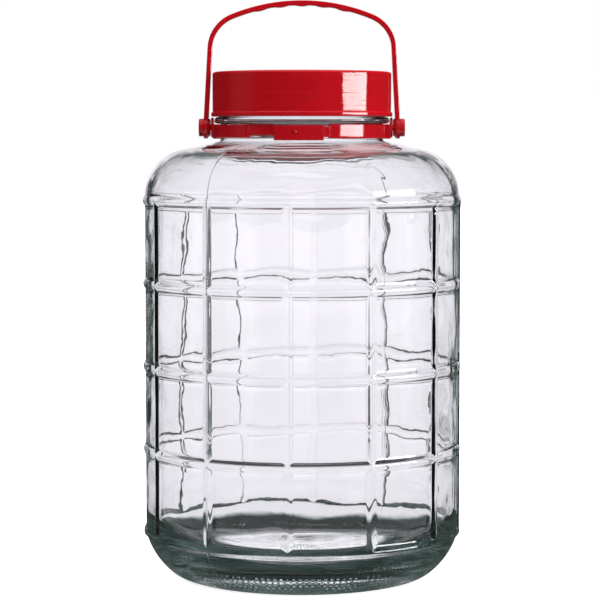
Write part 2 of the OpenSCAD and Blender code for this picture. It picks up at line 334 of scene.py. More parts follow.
# ---------------------------------------------------------------- the glass jar
def jar_angles():
    """Angles about the axis, closer together across the ribs and the mould seams."""
    period = 360 / RIB_COUNT
    rib_half, rib_step = 2.8, 0.35
    gap_from, gap_to, gap_step = 4.0, period - 3.2, 1.3
    seam_half, seam_step, seam_clear = 0.9, 0.15, 0.95
    rib = np.arange(-rib_half, rib_half + 0.01, rib_step)
    rib = np.concatenate([rib, np.arange(gap_from, gap_to, gap_step)])
    angles = [RIB_TURN + i * period + a for i in range(RIB_COUNT) for a in rib]
    for seam in (SEAM_TURN, SEAM_TURN + 180):
        angles = [a for a in angles if abs(signed_turn(a - seam)) > seam_clear]
        angles += list(seam + np.arange(-seam_half, seam_half + 0.01, seam_step))
    return np.radians(np.sort(np.array([a % 360 for a in angles])) - 90)


def heel_outline():
    """The outside of the heel and foot, from the edge of the land up to the lowest ring."""
    heel_x = PANEL_R - HEEL_R * cos_of(HEEL_START)
    heel_z = RING_LOW - 2 * RIB_SINK + HEEL_R * sin_of(HEEL_START)
    foot_r = (heel_z - HEEL_R * sin_of(HEEL_END)) / (1 - sin_of(HEEL_END))
    foot_x = heel_x + (HEEL_R - foot_r) * cos_of(HEEL_END)
    foot = arc(foot_x, foot_r, foot_r, -90, -HEEL_END, 12)
    return foot + arc(heel_x, heel_z, HEEL_R, -HEEL_END, -HEEL_START, 22)[1:]


def punt_outline(edge):
    """The push-up under the base, from its middle out to its edge on the table."""
    punt_r = 0.8 * PUNT_H / (1 - cos_of(PUNT_FLANK))
    centre = edge - punt_r * sin_of(PUNT_FLANK), -punt_r * cos_of(PUNT_FLANK)
    return fine([(0, PUNT_H)] + arc(*centre, punt_r, 90, 90 - PUNT_FLANK, 10), 5)


def wall_outline():
    """Points up the ribbed wall, closer together on the ring ribs."""
    walls = []
    for i in range(RING_COUNT):
        z = RING_LOW + i * RING_PITCH
        walls += [(PANEL_R, z + dz) for dz in np.arange(-4.0 if i else 0, 4.01, 0.5)]
        if i < RING_COUNT - 1:
            walls += [(PANEL_R, z + dz) for dz in np.arange(6, RING_PITCH - 5, 3.0)]
    return [p for p in walls if p[1] < SHOULDER_Z - 0.3]


def neck_outline(cone_start):
    """The outside of the neck: the cone's end, the groove, the bead, the finish and the rim."""
    bevel = 0.6
    finish_z = BEAD_Z + BEAD_H
    fillet_z = cone_start[1] + NECK_FILLET * cos_of(SHOULDER_SLOPE)
    fillet_z += (cone_start[0] - FILLET_X + NECK_FILLET * sin_of(SHOULDER_SLOPE)) * CONE_RISE
    fillet = arc(FILLET_X, fillet_z, NECK_FILLET, 270 - SHOULDER_SLOPE, 180, 8)
    bead = arc(BEAD_R - BEAD_H / 2, BEAD_Z + BEAD_H / 2, BEAD_H / 2, -90, 90, 14)
    rim_r = (FINISH_R - MOUTH_R) / 2
    neck = fine([cone_start, fillet[0]], 1.5)[1:] + fillet[1:]
    neck += fine([fillet[-1], (NECK_R, BEAD_Z - bevel), (NECK_R + bevel, BEAD_Z)], 1.5)[1:]
    neck += fine([(NECK_R + bevel, BEAD_Z), bead[0]], 1.0)[1:] + bead[1:]
    neck += fine([bead[-1], (FINISH_R + bevel, finish_z), (FINISH_R, finish_z + bevel)], 1.0)[1:]
    neck += fine([neck[-1], (FINISH_R, RIM_Z - rim_r)], 0.6)[1:]
    return neck + arc(MOUTH_R + rim_r, RIM_Z - rim_r, rim_r, 0, 180, 16)[1:]


def inside_outline(cone_start):
    """The inside of the jar, from below the rim down to the middle of its floor."""
    inner_r = PANEL_R - WALL
    floor_z = PUNT_H + BASE_T
    neck_foot = (MOUTH_R, cone_start[1] + (cone_start[0] - MOUTH_R) * CONE_RISE - WALL)
    under = arc(SHOULDER_X, SHOULDER_Z, SHOULDER_R - WALL, 90 - SHOULDER_SLOPE, 0, 24)
    corner = arc(inner_r - HEEL_IN_R, floor_z - FLOOR_DISH + HEEL_IN_R, HEEL_IN_R, 0, -90, 24)
    mouth = fine(rounded([(MOUTH_R, RIM_Z - 4), neck_foot, under[0]], 6, 8), 2.0)
    wall = fine([under[-1], corner[0]], 4.0)[1:]
    floor = fine([corner[-1], (0, floor_z)], 5.0)[1:]
    return mouth + under[1:] + wall + corner[1:] + floor


def ring_ribs(z):
    """The rise of the ring ribs at height z."""
    rise = np.zeros(z.shape)
    for i in range(RING_COUNT):
        u = (z - RING_LOW - i * RING_PITCH) / (RIB_W / 2)
        rise = np.maximum(rise, round_rib(u, RIB_W / 2, RING_PROUD))
    return rise


def upright_ribs(front, z):
    """The rise of the upright ribs at an angle from the front and a height."""
    period = 360 / RIB_COUNT
    off = np.radians((front - RIB_TURN + period / 2) % period - period / 2) * PANEL_R
    past = np.maximum(0, np.maximum(RING_LOW + RIB_W / 2 - z, z - RING_TOP))
    return bump(np.sqrt(off ** 2 + past ** 2) / (RIB_W / 2)) * RIB_PROUD


def mould_seams(front, r, z):
    """The rise of the two seams that the mould's halves leave, up to the neck."""
    half_w, proud, from_z, below_bead = 0.9, 0.35, 6, 14
    off = np.minimum(np.abs(signed_turn(front - SEAM_TURN)), np.abs((front - SEAM_TURN) % 360 - 180))
    return bump(np.radians(off) * r / half_w) * proud * (z > from_z) * (z < BEAD_Z - below_bead)


def neck_thread(a, z):
    """The rise of the screw thread on the finish."""
    half_w, taper = 2.2, 0.05
    turn = np.degrees(a) % 360
    thread = np.zeros(z.shape)
    for lap in range(math.ceil(THREAD_TURNS)):
        u = (turn + 360 * lap) / (360 * THREAD_TURNS)
        fade = smooth_step(u, 0, taper) * smooth_step(1 - u, 0, taper)
        thread = np.maximum(thread, bump((z - THREAD_LOW - u * THREAD_TURNS * THREAD_LEAD) / half_w) * fade)
    return thread * THREAD_PROUD


def jar_relief(a, r, z):
    """Ribs, seams, thread and the unevenness of blown glass, as changes of radius and height."""
    x, y = r * np.cos(a), r * np.sin(a)
    front = np.degrees(a) + 90
    outside = np.zeros(r.shape)
    outside[:jar_relief.outer_rows] = 1
    inside = 1 - outside
    on_panel = outside * (r > PANEL_R - 0.4) * (z > RING_LOW - 2)
    on_finish = outside * (r > FINISH_R - 0.1) * (r < FINISH_R + 1) * (z > THREAD_LOW - 4)
    blend = 5
    ribs = (ring_ribs(z) ** blend + upright_ribs(front, z) ** blend) ** (1 / blend)
    relief = np.minimum(ribs, RING_PROUD) * on_panel
    relief = relief + mould_seams(front, r, z) * outside
    relief = relief + neck_thread(a, z) * on_finish
    between = smooth_step(z, 4, 30) * smooth_step(BEAD_Z - z, 4, 20)
    skin = 0.07 * waves(x, y, z, 60, 3) * outside * between
    in_body = inside * smooth_step(RIM_Z - 8 - z, 0, 20)
    skin = skin + in_body * (0.22 * waves(x, y, z, 70, 5) + 0.10 * waves(x, y, z, 26, 8) - 0.25)
    floor = inside * (r < 80) * 0.35 * waves(x, y, z, 45, 11)
    return relief + skin, floor


def make_jar():
    """One closed body of glass: its outside, from the base up, and its inside, back down to the floor."""
    heel = heel_outline()
    shoulder = arc(SHOULDER_X, SHOULDER_Z, SHOULDER_R, 0, 90 - SHOULDER_SLOPE, 30)
    walls = [p for p in wall_outline() if p[1] > RING_LOW - 2 * RIB_SINK]
    outside = punt_outline(heel[0][0] - LAND_W) + heel + walls + shoulder + neck_outline(shoulder[-1])
    jar_relief.outer_rows = len(outside) - 1
    return revolve("jar_glass", outside + inside_outline(shoulder[-1]), jar_angles(), jar_relief)


# ---------------------------------------------------------------- the lid and its liner
def lid_relief(a, r, z):
    """The thread inside the skirt, fine lines round its outside, and a little unevenness."""
    x, y = r * np.cos(a), r * np.sin(a)
    half_w, taper = 1.8, 0.06
    low = THREAD_LOW + LID_THREAD_START / 360 * THREAD_LEAD - LID_THREAD_DROP
    u = ((np.degrees(a) - LID_THREAD_START) % 360) / 360
    fade = smooth_step(u, 0, taper) * smooth_step(1 - u, 0, taper)
    inner = (np.abs(r - LID_SKIRT_IN) < 0.05) * (z < LID_CEILING - 1)
    thread = THREAD_PROUD * bump((z - low - u * THREAD_LEAD) / half_w) * fade * inner
    skirt = (r > LID_R - 0.05) * (z > LID_LOW + LID_RIM_H) * (z < LID_HIGH - 1.5)
    lines = 0.012 * np.sin(z * TAU / 1.7) + 0.01 * np.sin(z * TAU / 2.9 + 1)
    uneven = 0.035 * waves(x, y, z, 34, 21) + 0.012 * waves(x, y, z, 9, 22)
    on_top = z > LID_CEILING + 0.1
    return skirt * (lines + uneven) - thread, 0.04 * waves(x, y, z, 50, 23) * on_top


def make_lid():
    """The lid's section from its ceiling, down inside the skirt, round its rim and up to its dished top."""
    bevel, chamfer, rim_low_r, rim_high_r = 0.6, 0.4, 0.7, 0.9
    rim_out = LID_R + LID_RIM_PROUD
    rim_top = LID_LOW + LID_RIM_H
    dish_z = LID_HIGH - LID_DISH_DEPTH
    inner = [(LID_SKIRT_IN - bevel, LID_CEILING), (LID_SKIRT_IN, LID_CEILING - bevel)]
    inner += [(LID_SKIRT_IN, LID_LOW + chamfer), (LID_SKIRT_IN + chamfer, LID_LOW), (rim_out - 0.5, LID_LOW)]
    inner = fine(inner, 0.6)
    rim = arc(rim_out - rim_low_r, LID_LOW + rim_low_r, rim_low_r, -90, 0, 6)
    rim += arc(rim_out - rim_high_r, rim_top - rim_high_r, rim_high_r, 0, 80, 8)
    rim += [(LID_R + 0.12, rim_top + 0.02)]
    side = fine([(LID_R, rim_top + 0.25), (LID_R, LID_HIGH - LID_EDGE_R)], 0.45)
    edge = arc(LID_R - LID_EDGE_R, LID_HIGH - LID_EDGE_R, LID_EDGE_R, 0, 90, 12)[1:]
    dish = [edge[-1], (LID_DISH_R + 0.9, LID_HIGH), (LID_DISH_R, dish_z), (LID_DISH_R - 20, dish_z)]
    dish = rounded(dish, 1.2)
    top = fine([dish[-1], (0, dish_z)], 4)
    ceiling = fine([(0, LID_CEILING), inner[0]], 5)[:-1]
    outline = ceiling + inner + rim + side + edge + dish[1:] + top[1:]
    obj = revolve("lid_cap", outline, even_angles(360), lid_relief)
    crease(obj, 50)
    return obj


def make_liner():
    """The sealing disc under the lid's top."""
    low, high, r = liner_low[2], liner_high[2], liner_high[0]
    outline = rounded([(0, low), (r, low), (r, high), (0, high)], 0.35)
    return revolve("liner_disc", fine(outline, 4), even_angles(180))


# ---------------------------------------------------------------- the neck ring
def blocks(angle, parts, base, soft=0.22):
    """A value that steps from base to each part's value between its two angles."""
    value = base
    for low, high, v in parts:
        inside = smooth_step(angle, low - soft, low + soft) * smooth_step(-angle, -high - soft, -high + soft)
        value = value + (v - value) * inside
    return value


def ring_sections(degrees):
    """The band's section at each angle: an inner edge, and an outer face with rounded corners."""
    out = blocks(degrees, [(ARM_FROM, ARM_TO, ARM_OUT), (ARM_TO, CLASP_FROM, BAND_OUT - 0.9),
                           (CLASP_FROM, CLASP_TO, ARM_OUT), (CLASP_TO, TAIL_TO, BAND_OUT + 0.6)], BAND_OUT)
    low = blocks(degrees, [(ARM_FROM, ARM_TO, BAND_LOW + 0.4), (ARM_TO, CLASP_FROM, BAND_LOW + 2.2),
                           (CLASP_FROM, CLASP_TO, BAND_LOW - 1.2), (CLASP_TO, TAIL_TO, BAND_LOW + 1)],
                 BAND_LOW)
    high = blocks(degrees, [(ARM_FROM, ARM_TO, BAND_HIGH - 0.3), (CLASP_FROM, CLASP_TO, BAND_HIGH - 0.8),
                            (CLASP_TO, TAIL_TO, BAND_HIGH - 1.6)], BAND_HIGH)
    inner, soft, rows = BAND_IN - 0.8, 0.55, []
    for o, lo, hi in zip(out, low, high):
        section = [(inner, lo)] + arc(o - soft, lo + soft, soft, -90, 0, 5)
        section += [(o, lo + soft + (hi - lo - 2 * soft) * k / 6) for k in range(1, 6)]
        section += arc(o - soft, hi - soft, soft, 0, 90, 5) + [(inner, hi)]
        rows.append(section)
    return np.array(rows)


def make_band():
    """The bent band, with more sections where its thickness steps."""
    steps = [ARM_FROM, ARM_TO, CLASP_FROM, CLASP_TO, TAIL_TO]
    degrees = [a for a in np.arange(-180, 180, 1.5) if min(abs(a - s) for s in steps) > 0.8]
    degrees = np.sort(np.array(degrees + [s + d for s in steps for d in np.linspace(-0.66, 0.66, 13)]))
    rows = ring_sections(degrees)
    a = np.radians(degrees - 90)[:, None]
    r, z = rows[..., 0], rows[..., 1]
    r = r * (1 + 0.0004 * waves(r * np.cos(a), r * np.sin(a), z, 30, 31))
    points = np.stack([r * np.cos(a), r * np.sin(a), z], -1).reshape(-1, 3)
    return new_mesh("ring_band", points, grid_faces(len(rows), rows.shape[1], wrap_rows=True))


def neck_room():
    """The room that the ring leaves for the neck, its fillet and the bead."""
    low, high, wide = BAND_LOW - 9, BAND_HIGH + 12, BEAD_R + 8
    fillet = arc(FILLET_X, FILLET_TOP, NECK_FILLET - BAND_PLAY, 270 - SHOULDER_SLOPE, 180, 8)
    outline = [(0, low), (wide, low), (wide, FILLET_TOP - 4.5)] + fillet + [(BAND_IN, BAND_HIGH)]
    outline += [(BEAD_R + BAND_PLAY, BAND_HIGH), (BEAD_R + BAND_PLAY, high), (0, high)]
    return revolve("clearance", outline, even_angles(240))


def pin_hole(side, r, start, end):
    """A round hole along a pin, from start to end."""
    return revolve("hole", [(0, start), (r, start), (r, end), (0, end)], even_angles(40), place=along_x(side))


def ear_boss(side):
    """The round boss of an ear, from inside the band out to the handle's eye."""
    inside = 50
    outline = [(0, inside), (EAR_R, inside), (EAR_R, EAR_OUT), (0, EAR_OUT)]
    return revolve("boss", fine(rounded(outline, 0.6), 3), even_angles(64), place=along_x(side))


def ear_block(side):
    """The square-ended arm that carries an ear's boss."""
    half_w, low, high = EAR_R + 2, BAND_LOW - 0.3, BAND_HIGH - 0.4
    mid = (low + high) / 2
    outline = rounded_box(half_w, (high - low) / 2, 0.7)
    face = EAR_OUT - BOSS_STEP
    stations = [(BAND_IN - 3, 0), (face - 0.7, 0), (face - 0.2, 0.2), (face, 0.6)]
    rows = []
    for x, shrink in stations:
        rows.append([(side * x, y * (1 - shrink / half_w), mid + z * (1 - shrink / 5)) for y, z in outline])
    return loft("ear_block", rows)


def make_ring():
    """The band with its stiff arm, clasp and recess, and an ear with a round boss on each side."""
    band = make_band()
    extras = [make_stud()]
    for side in (-1, 1):
        extras += [ear_block(side), ear_boss(side)]
    combine(band, extras)
    holes = [pin_hole(side, PIN_R + 0.05, PIN_TIP - 0.1, EAR_OUT + 3) for side in (-1, 1)]
    combine(band, [neck_room()] + holes, "DIFFERENCE")
    crease(band)
    return band


def rounded_box(half_w, half_h, r, n=4):
    """A rounded rectangle about the origin."""
    out = []
    for cx, cy, start in ((half_w - r, half_h - r, 0), (r - half_w, half_h - r, 90),
                          (r - half_w, r - half_h, 180), (half_w - r, r - half_h, 270)):
        out += arc(cx, cy, r, start, start + 90, n)
    return out


def loft(name, rows):
    """A closed body through rows of points, each row a closed ring, with flat ends."""
    rows = np.array(rows)
    n, m = rows.shape[:2]
    faces = grid_faces(n, m) + [tuple(range(m))[::-1], tuple(range((n - 1) * m, n * m))]
    return new_mesh(name, rows.reshape(-1, 3), faces)


def make_stud():
    """The small stud on the clasp."""
    root = ARM_OUT - 1
    tip, r, tip_r = root + 1.9, 1.7, 1.15
    outline = rounded([(0, root), (r, root), (r, root + 1), (tip_r, tip), (0, tip)], 0.4)
    a = math.radians(STUD_TURN - 90)

    def place(p):
        return np.stack([p[:, 2] * math.cos(a) - p[:, 1] * math.sin(a),
                         p[:, 2] * math.sin(a) + p[:, 1] * math.cos(a), BAND_MID + p[:, 0]], -1)

    return revolve("stud", outline, even_angles(32), place=place)


# ---------------------------------------------------------------- the handle and its pins
def grip_rise(along):
    """How far the strap stands inwards at a distance along its grip from the middle."""
    near = round(along / BUMP_PITCH)
    if abs(near) > BUMP_COUNT // 2:
        return LEG_SWELL
    lobe = max(0, 1 - (2 * (along - near * BUMP_PITCH) / BUMP_L) ** 2)
    return LEG_SWELL + BUMP_H * lobe ** 1.5


def strap_path():
    """Points along the strap's outer face between the pivots, each with the way in and the rise there."""
    lean = math.radians(LEG_LEAN)
    grip_z = HANDLE_TOP - GRIP_R
    n = np.array([math.cos(lean), math.sin(lean)])
    u = np.array([-math.sin(lean), math.cos(lean)])
    a = np.dot([EYE_OUT, PIVOT_Z - grip_z], n) - CORNER_R
    b = math.sqrt((GRIP_R - CORNER_R) ** 2 - a ** 2)
    cx, cz = a * n[0] + b * u[0], grip_z + a * n[1] + b * u[1]
    half = math.degrees(math.atan2(cx, cz - grip_z))
    corner = np.radians(np.linspace(LEG_LEAN, 90 - half, 34))
    grip = np.radians(np.linspace(90 - half, 90 + half, 160))[1:-1]
    foot = np.array([EYE_OUT - LEG_INSET, PIVOT_Z])
    top = np.array([cx + CORNER_R * math.cos(corner[0]), cz + CORNER_R * math.sin(corner[0])])
    leg = [foot + (top - foot) * t for t in np.linspace(0, 1, 24)[:-1]]
    side = [(p + n * LEG_SWELL * (1 - k / len(leg)), -n, 2 * LEG_SWELL * (1 - 0.5 * k / len(leg)))
            for k, p in enumerate(leg)]
    for t in corner:
        d = np.array([math.cos(t), math.sin(t)])
        side.append((np.array([cx, cz]) + CORNER_R * d, -d, LEG_SWELL))
    middle = []
    for t in grip:
        d = np.array([math.cos(t), math.sin(t)])
        rise = grip_rise((math.pi / 2 - t) * (GRIP_R - STRAP_T))
        middle.append((np.array([0, grip_z]) + GRIP_R * d, -d, rise))
    mirrored = [(p * [-1, 1], d * [-1, 1], rise) for p, d, rise in reversed(side)]
    return side + middle + mirrored


def make_eye(side):
    """The round eye on one end of the strap, with its raised boss on the inside."""
    boss = EYE_IN - EYE_BOSS
    outline = [(0, boss), (EAR_R - BOSS_STEP, boss), (EAR_R, EYE_IN)]
    outline += [(EYE_R, EYE_IN), (EYE_R, EYE_OUT), (0, EYE_OUT)]
    return revolve("eye", fine(rounded(outline, 0.5), 2.5), even_angles(72), place=along_x(side))


def make_handle():
    """The strap, thicker at the grip bumps under its top, with a round eye on each end."""
    section = rounded_box(STRAP_T / 2, STRAP_W / 2, 0.75, 5)
    rows = []
    for p, d, rise in strap_path():
        depth = [STRAP_T / 2 + s + rise * smooth_step(s, -0.5, 0.7) for s, _ in section]
        rows.append([(p[0] + d[0] * t, y, p[1] + d[1] * t) for t, (_, y) in zip(depth, section)])
    strap = loft("handle_strap", rows)
    combine(strap, [make_eye(side) for side in (-1, 1)])
    holes = [pin_hole(side, PIN_R + PIN_PLAY, EYE_IN - 4, EYE_OUT + 2) for side in (-1, 1)]
    combine(strap, holes, "DIFFERENCE")
    crease(strap)
    return strap


def make_pin(side, name):
    """A headed pin with a rounded edge and a small moulded dimple in its head."""
    flat, bevel, foot, edge_r = PIN_OUT - 0.2, 0.3, 0.25, 0.9
    outline = [(0, PIN_TIP), (PIN_R - bevel, PIN_TIP), (PIN_R, PIN_TIP + bevel)]
    outline += [(PIN_R, HEAD_IN - 0.1), (PIN_R + 0.2, HEAD_IN)]
    outline += [(HEAD_R - foot, HEAD_IN), (HEAD_R, HEAD_IN + foot)]
    outline += arc(HEAD_R - edge_r, flat - edge_r, edge_r, 0, 90, 8)
    dimple = [(HEAD_R - 1.2, flat + 0.02), (3.4, flat + 0.16), (2.9, flat - 0.3), (1.2, flat - 0.34)]
    outline += rounded(dimple, 0.3)
    outline += [(0, flat - 0.34)]
    pin = revolve(name, fine(outline, 1.5), even_angles(64), place=along_x(side))
    crease(pin)
    return pin


# ---------------------------------------------------------------- materials
CLEAR_GLASS = (0.985, 0.985, 0.99, 1)
GLASS_IOR = 1.52
GLASS_ABSORBS_TO = (0.42, 0.60, 0.55, 1)
GLASS_DENSITY = 12.0
STIPPLE_TOP, STIPPLE_FULL = 0.017, 0.012
STIPPLE_PITCH = 0.0042
STIPPLE_ROUND = 150.0

LID_RED = (0.60, 0.005, 0.012)
RING_RED = (0.57, 0.005, 0.012)
PLASTIC_IOR = 1.49
FLOW_STRETCH = 12
FLOW_SHADE = 0.86

FOAM_CELL = (0.70, 0.69, 0.66, 1)
FOAM_WALL = (0.84, 0.83, 0.80, 1)
FOAM_CELLS = 900


def shader(name):
    """A new node material, with its node tree, Principled shader and a helper that adds nodes."""
    mat = bpy.data.materials.new(name)
    mat.use_nodes = True
    tree = mat.node_tree
    return mat, tree, tree.nodes["Principled BSDF"], tree.nodes.new


def node_kit(tree):
    """Short helpers for node trees: arithmetic, and a smooth ramp between two values."""
    def link(value, socket):
        if isinstance(value, (int, float)):
            socket.default_value = value
        else:
            tree.links.new(value, socket)

    def calc(operation, *values):
        node = tree.nodes.new("ShaderNodeMath")
        node.operation = operation
        for value, socket in zip(values, node.inputs):
            link(value, socket)
        return node.outputs[0]

    def ramp(value, start, end, low=0.0, high=1.0):
        node = tree.nodes.new("ShaderNodeMapRange")
        node.interpolation_type = "SMOOTHSTEP"
        inputs = {"Value": value, "From Min": start, "From Max": end, "To Min": low, "To Max": high}
        for name, v in inputs.items():
            link(v, node.inputs[name])
        return node.outputs["Result"]

    return calc, ramp


def noise(tree, coords, scale, detail=2.0, rough=0.5):
    """Cloudy noise between 0 and 1, with about this many clouds to a metre."""
    node = tree.nodes.new("ShaderNodeTexNoise")
    node.inputs["Scale"].default_value = scale
    node.inputs["Detail"].default_value = detail
    node.inputs["Roughness"].default_value = rough
    tree.links.new(coords, node.inputs["Vector"])
    return node.outputs["Fac"]


def bump_into(tree, bsdf, height, strength, distance):
    """Fine relief of a surface: a height from 0 to 1 stands for this distance in metres."""
    rise = tree.nodes.new("ShaderNodeBump")
    rise.inputs["Strength"].default_value = strength
    rise.inputs["Distance"].default_value = distance
    tree.links.new(height, rise.inputs["Height"])
    tree.links.new(rise.outputs["Normal"], bsdf.inputs["Normal"])


def glass_stipple(calc, ramp, coords, tree):
    """Rows of small dots low on the heel, stronger in some places than in others."""
    split = tree.nodes.new("ShaderNodeSeparateXYZ")
    tree.links.new(coords, split.inputs[0])
    x, y, z = split.outputs
    across = calc("SINE", calc("MULTIPLY", calc("ARCTAN2", y, x), STIPPLE_ROUND))
    rows = calc("SINE", calc("MULTIPLY", z, TAU / STIPPLE_PITCH))
    dots = calc("MAXIMUM", calc("MULTIPLY", across, rows), 0.0)
    heel = ramp(z, STIPPLE_TOP, STIPPLE_FULL)
    patchy = calc("ADD", ramp(noise(tree, coords, 90, 3), 0.4, 0.6), 0.35)
    return calc("MULTIPLY", calc("MULTIPLY", dots, heel), patchy)


def glass_material():
    """Clear soda-lime glass, faintly green in the thick, with a stippled heel and a slightly uneven skin."""
    mat, tree, bsdf, add = shader("clear_glass")
    calc, ramp = node_kit(tree)
    bsdf.inputs["Base Color"].default_value = CLEAR_GLASS
    bsdf.inputs["Transmission Weight"].default_value = 1.0
    bsdf.inputs["IOR"].default_value = GLASS_IOR
    bsdf.inputs["Roughness"].default_value = 0.0
    coords = add("ShaderNodeTexCoord").outputs["Object"]
    skin = calc("MULTIPLY", noise(tree, coords, 55), 0.12)
    stipple = calc("MULTIPLY", glass_stipple(calc, ramp, coords, tree), 0.35)
    bump_into(tree, bsdf, calc("ADD", skin, stipple), 1.0, 0.001)
    absorb = add("ShaderNodeVolumeAbsorption")
    absorb.inputs["Color"].default_value = GLASS_ABSORBS_TO
    absorb.inputs["Density"].default_value = GLASS_DENSITY
    tree.links.new(absorb.outputs["Volume"], tree.nodes["Material Output"].inputs["Volume"])
    return mat


def red_material(name, colour, rough):
    """Glossy moulded plastic: fine lines round it from the mould, faint flow marks and rubbed patches."""
    mat, tree, bsdf, add = shader(name)
    calc, ramp = node_kit(tree)
    bsdf.inputs["IOR"].default_value = PLASTIC_IOR
    coords = add("ShaderNodeTexCoord").outputs["Object"]
    stretch = add("ShaderNodeMapping")
    stretch.inputs["Scale"].default_value = (1, 1, FLOW_STRETCH)
    tree.links.new(coords, stretch.inputs["Vector"])
    flow = noise(tree, stretch.outputs["Vector"], 22, 4, 0.6)
    cloud = noise(tree, coords, 30, 3)
    tone = add("ShaderNodeValToRGB")
    dark, light = tone.color_ramp.elements
    dark.position, light.position = 0.32, 0.68
    dark.color = (*[c * FLOW_SHADE for c in colour], 1)
    light.color = (*colour, 1)
    tree.links.new(calc("MULTIPLY_ADD", flow, 0.6, calc("MULTIPLY", cloud, 0.4)), tone.inputs["Fac"])
    tree.links.new(tone.outputs["Color"], bsdf.inputs["Base Color"])
    rubbed = ramp(noise(tree, coords, 140, 5, 0.7), 0.55, 0.75, rough, rough + 0.08)
    tree.links.new(rubbed, bsdf.inputs["Roughness"])
    peel = calc("MULTIPLY", noise(tree, coords, 260), 0.5)
    lines = calc("MULTIPLY", noise(tree, stretch.outputs["Vector"], 60), 0.8)
    bump_into(tree, bsdf, calc("ADD", peel, lines), 0.10, 0.0004)
    return mat


def foam_material():
    """The liner's pressed white foam, with fine closed cells."""
    mat, tree, bsdf, add = shader("liner_foam")
    bsdf.inputs["Specular IOR Level"].default_value = 0.2
    bsdf.inputs["Roughness"].default_value = 0.75
    cells = add("ShaderNodeTexVoronoi")
    cells.inputs["Scale"].default_value = FOAM_CELLS
    tree.links.new(add("ShaderNodeTexCoord").outputs["Object"], cells.inputs["Vector"])
    tone = add("ShaderNodeValToRGB")
    tone.color_ramp.elements[0].color = FOAM_CELL
    tone.color_ramp.elements[1].color = FOAM_WALL
    tree.links.new(cells.outputs["Distance"], tone.inputs["Fac"])
    tree.links.new(tone.outputs["Color"], bsdf.inputs["Base Color"])
    bump_into(tree, bsdf, cells.outputs["Distance"], 0.3, 0.0003)
    return mat


# ---------------------------------------------------------------- camera, floor and light
# Levels are brightness, distances are metres, turns are radians and heights are sines of elevations
CAMERA_LENS, CAMERA_SENSOR, CAMERA_REACH = 140.4, 36, 100
CAMERA_AT = (-0.0013, -1.659, 0.3158)
CAMERA_DOWN = 4.14

# Floor behind glass, all painted light and shade: a glowing pale disc under the base, painted shade round the
# foot, then white, with the studio's panels painted on further out
PAINTED_FOOT_GLOW, FOOT_R, FOOT_EDGE = 1.7, 0.063, 0.008
PAINTED_SHADE_R, FLOOR_WHITE_R, PAINTED_SHADE_LEVEL = 0.155, 0.185, 0.015
PANEL_NEAR, PANEL_FAR, PANEL_LOW, PANEL_HIGH = 0.2, 3.0, 0.95, 1.08
WALL_FROM, WALL_TO = 0.45, 0.9
# Floor as other surfaces and the camera see it; to other surfaces it only glows faintly, painted fill light
# from below
FLOOR_WHITE, FLOOR_ROUGH, FLOOR_PAINTED_FILL = (0.9, 0.9, 0.9, 1), 0.9, 0.10
FLOOR_GLOW, GLOW_FROM, GLOW_TO = 0.80, 0.1, 0.9
FLOOR_RINGS, FLOOR_SIDES = (0.2, 0.5, 1, 2, 4, 8), 96

# White panels round the set, with the widest at the back and dark gaps beside it
PANEL_TURN = math.pi / 4
PANEL_HALF, PANEL_EDGE, BACK_HALF, BACK_EDGE = 0.155, 0.045, 0.31, 0.07
GAP_DARK, GAP_PALE, GAP_FROM, GAP_TO = 0.05, 0.45, 0.53, 0.60
PANEL_TINT = (1.035, 0.985, 1.05, 1)
# Greenish tints for the dark floor seen through glass (mostly its painted shade) and for the dark walls
PAINTED_DARK_FLOOR_TINT, DARK_WALL_TINT = (0.7, 1.1, 0.95, 1), (0.8, 1.1, 1.02, 1)

# Where the panels end above, and the dim light overhead
PANEL_TOP, ABOVE_PANELS = (0.20, 0.32), 0.08
OVERHEAD, OVERHEAD_LEVEL = (0.75, 0.95), 0.12

# What the gloss mirrors: a tall soft box on the right, a weak one on the left, the backdrop and the ceiling
KEY_FROM, KEY_TO, KEY_EDGE, KEY_LEVEL = math.radians(53), math.radians(91), 0.02, 17.0
KEY_RISE, KEY_FADE = (-0.12, -0.09), (0.30, 0.08)
FILL_RISE, FILL_FADE, FILL_LEVEL = (-1.95, -1.6), (-0.9, -1.3), 0.12
BACKDROP_TURN, BACKDROP_TOP, BACKDROP_LEVEL = (0.5, 0.2), (0.5, 0.2), 0.9
CEILING, CEILING_LOW, CEILING_HIGH = (0.5, 0.95), 0.02, 0.9

# Soft light on the plastic: its level, and how much more comes from the right, from behind and from above
SOFT_LEVEL, SOFT_RIGHT, SOFT_BACK, SOFT_UP, SOFT_LEAST = 1.30, 0.9, 0.10, 0.25, 0.05


def make_camera():
    """A long lens from the front, a little above the middle of the jar and tipped down."""
    cam = bpy.data.cameras.new("camera")
    cam.lens = CAMERA_LENS
    cam.sensor_width = CAMERA_SENSOR
    cam.clip_end = CAMERA_REACH
    obj = bpy.data.objects.new("camera", cam)
    obj.location = CAMERA_AT
    obj.rotation_euler = (math.radians(90 - CAMERA_DOWN), 0, 0)
    bpy.context.scene.collection.objects.link(obj)
    bpy.context.scene.camera = obj


def panels(calc, ramp, x, y):
    """Brightness behind glass by direction: eight white panels round the set, with gaps between them."""
    turn = calc("ARCTAN2", x, y)
    lap = calc("FLOORED_MODULO", calc("ADD", turn, PANEL_TURN / 2), PANEL_TURN)
    off = calc("ABSOLUTE", calc("SUBTRACT", lap, PANEL_TURN / 2))
    white = ramp(off, PANEL_HALF, PANEL_HALF + PANEL_EDGE, 1.0, 0.0)
    away = calc("ABSOLUTE", turn)
    white = calc("MAXIMUM", white, ramp(away, BACK_HALF, BACK_HALF + BACK_EDGE, 1.0, 0.0))
    gap = ramp(away, GAP_FROM, GAP_TO, GAP_DARK, GAP_PALE)
    return calc("ADD", white, calc("MULTIPLY", calc("SUBTRACT", 1.0, white), gap))


